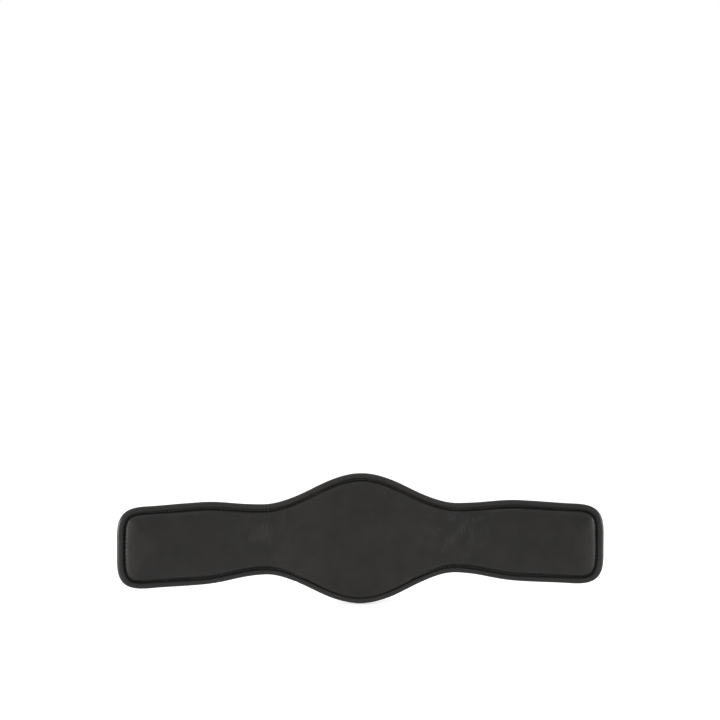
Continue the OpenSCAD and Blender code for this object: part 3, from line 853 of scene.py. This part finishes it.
def neck_creases(tree, where):
    """Fine upright creases in patches, which fade out on each side of the necks."""
    wave = node(tree, "ShaderNodeTexWave", Scale=105.0, Distortion=9.0, Detail=4.0, bands_direction="X")
    wave.inputs["Detail Scale"].default_value = 0.7
    tree.links.new(where, wave.inputs["Vector"])
    parts = node(tree, "ShaderNodeSeparateXYZ")
    tree.links.new(where, parts.inputs[0])
    off = worked(tree, "SUBTRACT", worked(tree, "ABSOLUTE", parts.outputs["X"]), NECK_X - 2 * MM)
    share = ranged(tree, worked(tree, "ABSOLUTE", off), (58 * MM, 4 * MM), kind="SMOOTHSTEP")
    noise = node(tree, "ShaderNodeTexNoise", Scale=75.0, Detail=2.0)
    tree.links.new(where, noise.inputs["Vector"])
    patches = ranged(tree, noise.outputs["Fac"], (0.36, 0.66), kind="SMOOTHSTEP")
    return worked(tree, "MULTIPLY", worked(tree, "MULTIPLY", wave.outputs["Fac"], share), patches)


def leather(name, low, high, smooth, rough, grain, depth, creased=False):
    """Dyed leather: cell-like grain of a size and a depth, fine pores, slow changes of tone from low to
    high, and patches of gloss from smooth to rough."""
    mat, tree, shader = material(name, low, rough, specular=0.19)
    where = place_of(tree)
    varied(tree, shader, where, 38.0, low, high, "Base Color")
    varied(tree, shader, where, 22.0, smooth, rough, "Roughness", 3.1)
    cells = node(tree, "ShaderNodeTexVoronoi", feature="SMOOTH_F1", Scale=grain, Randomness=1.0)
    pores = node(tree, "ShaderNodeTexNoise", Scale=grain * 3.1, Detail=3.0, Roughness=0.55)
    slow = node(tree, "ShaderNodeTexNoise", Scale=grain * 0.16, Detail=3.0, Roughness=0.5)
    for texture in (cells, pores, slow):
        tree.links.new(where, texture.inputs["Vector"])
    heights = [
        (slow.outputs["Fac"], 0.45, 0.7 * MM),
        (cells.outputs["Distance"], 0.45, depth),
        (pores.outputs["Fac"], 0.3, depth * 0.5),
    ]
    if creased:
        heights.append((neck_creases(tree, where), 0.7, 0.7 * MM))
    bumps(tree, shader, heights)
    return mat


def thread_material(name, colour):
    """Waxed thread: fine twisted strands."""
    mat, tree, shader = material(name, colour, 0.5, specular=0.4)
    where = place_of(tree)
    varied(tree, shader, where, 220.0, *shades(colour, 0.7, 1.5), "Base Color")
    strands = node(tree, "ShaderNodeTexWave", Scale=900.0, Distortion=2.0, bands_direction="DIAGONAL")
    tree.links.new(where, strands.inputs["Vector"])
    bumps(tree, shader, [(strands.outputs["Fac"], 0.6, 0.15 * MM)])
    return mat


def woven_material(name, colour, pitch):
    """Woven webbing or braid: two crossed waves."""
    mat, tree, shader = material(name, colour, 0.85, specular=0.2)
    where = place_of(tree)
    varied(tree, shader, where, 120.0, *shades(colour, 0.75, 1.25), "Base Color")
    crossed = []
    for direction in ("X", "Z"):
        wave = node(tree, "ShaderNodeTexWave", Scale=0.31 / pitch, Distortion=0.6, bands_direction=direction)
        tree.links.new(where, wave.inputs["Vector"])
        crossed.append((wave.outputs["Fac"], 0.5, 0.3 * MM))
    bumps(tree, shader, crossed)
    return mat


def foam_material(name, colour):
    """Closed-cell foam."""
    mat, tree, shader = material(name, colour, 0.9, specular=0.15)
    where = place_of(tree)
    varied(tree, shader, where, 90.0, *shades(colour, 0.85, 1), "Base Color")
    cells = node(tree, "ShaderNodeTexVoronoi", Scale=1600.0)
    tree.links.new(where, cells.inputs["Vector"])
    bumps(tree, shader, [(cells.outputs["Distance"], 0.6, 0.2 * MM)])
    return mat


def nickel(name):
    """Nickel plate with fine scratches and a duller haze in patches."""
    mat, tree, shader = material(name, (0.62, 0.61, 0.58), 0.25, metallic=1.0)
    where = place_of(tree)
    varied(tree, shader, where, 260.0, 0.18, 0.42, "Roughness")
    varied(tree, shader, where, 180.0, (0.50, 0.49, 0.46), (0.68, 0.67, 0.64), "Base Color", 1.7)
    scratches = node(tree, "ShaderNodeTexNoise", Scale=2400.0, Detail=2.0)
    stretch = node(tree, "ShaderNodeMapping")
    stretch.inputs["Scale"].default_value = (1, 1, 0.08)
    tree.links.new(where, stretch.inputs["Vector"])
    tree.links.new(stretch.outputs["Vector"], scratches.inputs["Vector"])
    bumps(tree, shader, [(scratches.outputs["Fac"], 0.15, 0.05 * MM)])
    return mat


FACE = leather(
    "face_leather", (0.0032, 0.0028, 0.0026), (0.0144, 0.0134, 0.0126),
    smooth=0.42, rough=0.60, grain=850.0, depth=0.18 * MM, creased=True,
)
# The rolled edge is the same leather as the face, painted lighter than the face to stand in for the light
# that its round crest catches.
ROLL_PAINTED_LIGHT = leather(
    "roll_leather_painted_light", (0.0086, 0.0080, 0.0075), (0.0152, 0.0143, 0.0134),
    smooth=0.42, rough=0.56, grain=980.0, depth=0.12 * MM,
)
BACK = leather(
    "back_leather", (0.013, 0.0125, 0.012), (0.021, 0.020, 0.019),
    smooth=0.46, rough=0.62, grain=620.0, depth=0.22 * MM,
)
STRAP = leather(
    "strap_leather", (0.011, 0.0107, 0.0102), (0.018, 0.0175, 0.0165),
    smooth=0.36, rough=0.52, grain=760.0, depth=0.10 * MM,
)
THREAD = thread_material("black_thread", (0.016, 0.0155, 0.015))
BACK_THREAD = thread_material("charcoal_thread", (0.055, 0.054, 0.052))
WEBBING = woven_material("webbing", (0.10, 0.10, 0.10), 1.6 * MM)
FILLER = woven_material("filler_braid", (0.62, 0.58, 0.48), 1.2 * MM)
FOAM = foam_material("foam", (0.35, 0.35, 0.33))
NICKEL = nickel("nickel")


def wear(ob, mat):
    """Gives a piece its material."""
    ob.data.materials.clear()
    ob.data.materials.append(mat)


# ---- fastening the pad's pieces to the frame ----

def bend_with(ob, side):
    """Bakes the piece's place into its mesh. The ends of its bend are worked out but not used."""
    start, end = posed([
        (SIDES[side] * (BEND_X - BEND_HALF), 0, 0),
        (SIDES[side] * (BEND_X + BEND_HALF), 0, 0),
    ])
    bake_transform(ob)


LAYERS = [
    (belly, FACE, "face_leather", "belly_panel"),
    (roll, ROLL_PAINTED_LIGHT, "face_leather", "edge_roll"),
    (cord, FILLER, "filler_cord", "edge_cord"),
    (foam, FOAM, "foam", "foam_core"),
    (web, WEBBING, "load_web", "load_web"),
    (back, BACK, "back_leather", "back_cover"),
    (front_thread, THREAD, "thread", "rim_stitching"),
    (back_thread, BACK_THREAD, "thread", None),
]
for pieces, mat, slot, stands_for in LAYERS:
    for side, ob in pieces.items():
        wear(ob, mat)
        bend_with(ob, side)
        if stands_for:
            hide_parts(f"{side}_{stands_for}", f"centre_{stands_for}")

for side, sign in SIDES.items():
    for spot, x, parent in (("inner", INNER_X, "pad_centre"), ("outer", OUTER_X, f"{side}_wing")):
        name = f"{side}_{spot}"
        body = f"{name}_keeper"
        place = keeper_place(sign * x)
        strap = keeper_strap(f"{name}_keeper_leather", sign * x)
        wear(strap, STRAP)
        start, end = place([(0, 0.8 * MM, HINGE_Z + 3.5 * MM), (0, HINGE_Y + 0.7 * MM, HINGE_Z + 0.3 * MM)])
        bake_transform(strap)
        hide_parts(f"{name}_keeper_strap", f"{name}_keeper_sewn_end")
        box = sewn_box(f"{name}_sewn_box", sign * x)
        wear(box, BACK_THREAD)
        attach(box, parent)
        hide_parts(f"{name}_keeper_stitching")
        edge = band_stitches(f"{name}_band_stitches", sign * x)
        wear(edge, BACK_THREAD)
        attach(edge, body)
        cap = lathe(f"{name}_cap", cap_profile(), sign * x)
        wear(cap, NICKEL)
        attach(cap, body)
        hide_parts(f"{name}_snap_cap")
        stud = lathe(f"{name}_stud", stud_profile(), sign * x)
        wear(stud, NICKEL)
        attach(stud, parent)
        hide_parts(f"{name}_snap_stud")
        for kept in ("snap_socket", "snap_post"):
            metal = frame["nodes"][f"{name}_{kept}"]
            metal.data.materials.clear()
            metal.data.materials.append(NICKEL)


# ---- stage, light and camera ----

def add_stage():
    """A plain pale floor that the bulge's lower edge just clears."""
    half, z = 6.0, -BULGE - 1 * MM
    corners = [(-half, -half, z), (half, -half, z), (half, half, z), (-half, half, z)]
    me = bpy.data.meshes.new("floor")
    me.from_pydata(corners, [], [(0, 1, 2, 3)])
    floor = bpy.data.objects.new("floor", me)
    bpy.context.scene.collection.objects.link(floor)
    mat, tree, shader = material("pale_floor", (0.9, 0.9, 0.9), 0.9, specular=0.1)
    varied(tree, shader, place_of(tree), 0.8, (0.89, 0.89, 0.89), (0.91, 0.91, 0.91), "Base Color")
    shader.inputs["Emission Color"].default_value = (1, 1, 1, 1)
    shader.inputs["Emission Strength"].default_value = 0.25
    floor.data.materials.append(mat)


def add_light(name, place, target, size, power, spread=180):
    """A soft square light at a place, turned to a target. spread is its cone in degrees."""
    data = bpy.data.lights.new(name, "AREA")
    data.shape, data.size, data.energy = "SQUARE", size, power
    data.spread = math.radians(spread)
    lamp = bpy.data.objects.new(name, data)
    lamp.location = place
    lamp.rotation_euler = (Vector(target) - Vector(place)).to_track_quat("-Z", "Y").to_euler()
    lamp.visible_camera = False
    bpy.context.scene.collection.objects.link(lamp)


def add_world():
    """A white world."""
    world = bpy.data.worlds.new("studio")
    world.use_nodes = True
    sky = world.node_tree.nodes["Background"]
    sky.inputs["Color"].default_value = (1, 1, 1, 1)
    sky.inputs["Strength"].default_value = 1.0
    bpy.context.scene.world = world


VIEW_DISTANCE = 1.25            # from the camera to the plane of the pad's middle
VIEW_TURN = math.radians(3.76)  # the camera stands a little toward -X
VIEW_TILT = math.radians(-0.16)
VIEW_ASIDE = 1.28 * MM
VIEW_RISE = 221.8 * MM          # it looks level, from above the pad


def add_camera():
    """The camera that sees the belly side."""
    data = bpy.data.cameras.new("camera")
    data.lens, data.sensor_width = 50, 36
    camera = bpy.data.objects.new("camera", data)
    level, turned = math.cos(VIEW_TURN), math.sin(VIEW_TURN)
    right = Vector((level * math.cos(VIEW_TILT), -turned, -level * math.sin(VIEW_TILT)))
    up = Vector((math.sin(VIEW_TILT), 0, math.cos(VIEW_TILT)))
    back = right.cross(up)
    place = Vector((0, 0, VIEW_RISE)) + back * VIEW_DISTANCE - right * VIEW_ASIDE
    camera.matrix_world = Matrix.Translation(place) @ Matrix((right, up, back)).transposed().to_4x4()
    bpy.context.scene.collection.objects.link(camera)
    bpy.context.scene.camera = camera


add_stage()
add_world()
for side, sign in SIDES.items():
    add_light(f"{side}_softbox", (1.3 * sign, -0.35, 0.25), (0.1 * sign, 0, 0), size=0.7, power=3)
for side, power in (("left", 0.22), ("right", 0.15)):
    place, target = (0.62 * SIDES[side], -0.22, 0.04), (0.30 * SIDES[side], -0.07, 0)
    add_light(f"{side}_end_light", place, target, size=0.1, power=power, spread=40)
add_light("top_softbox", (0, -0.4, 1.3), (0, 0, 0), size=0.9, power=5)
add_camera()
bpy.context.scene.view_settings.view_transform = "Standard"
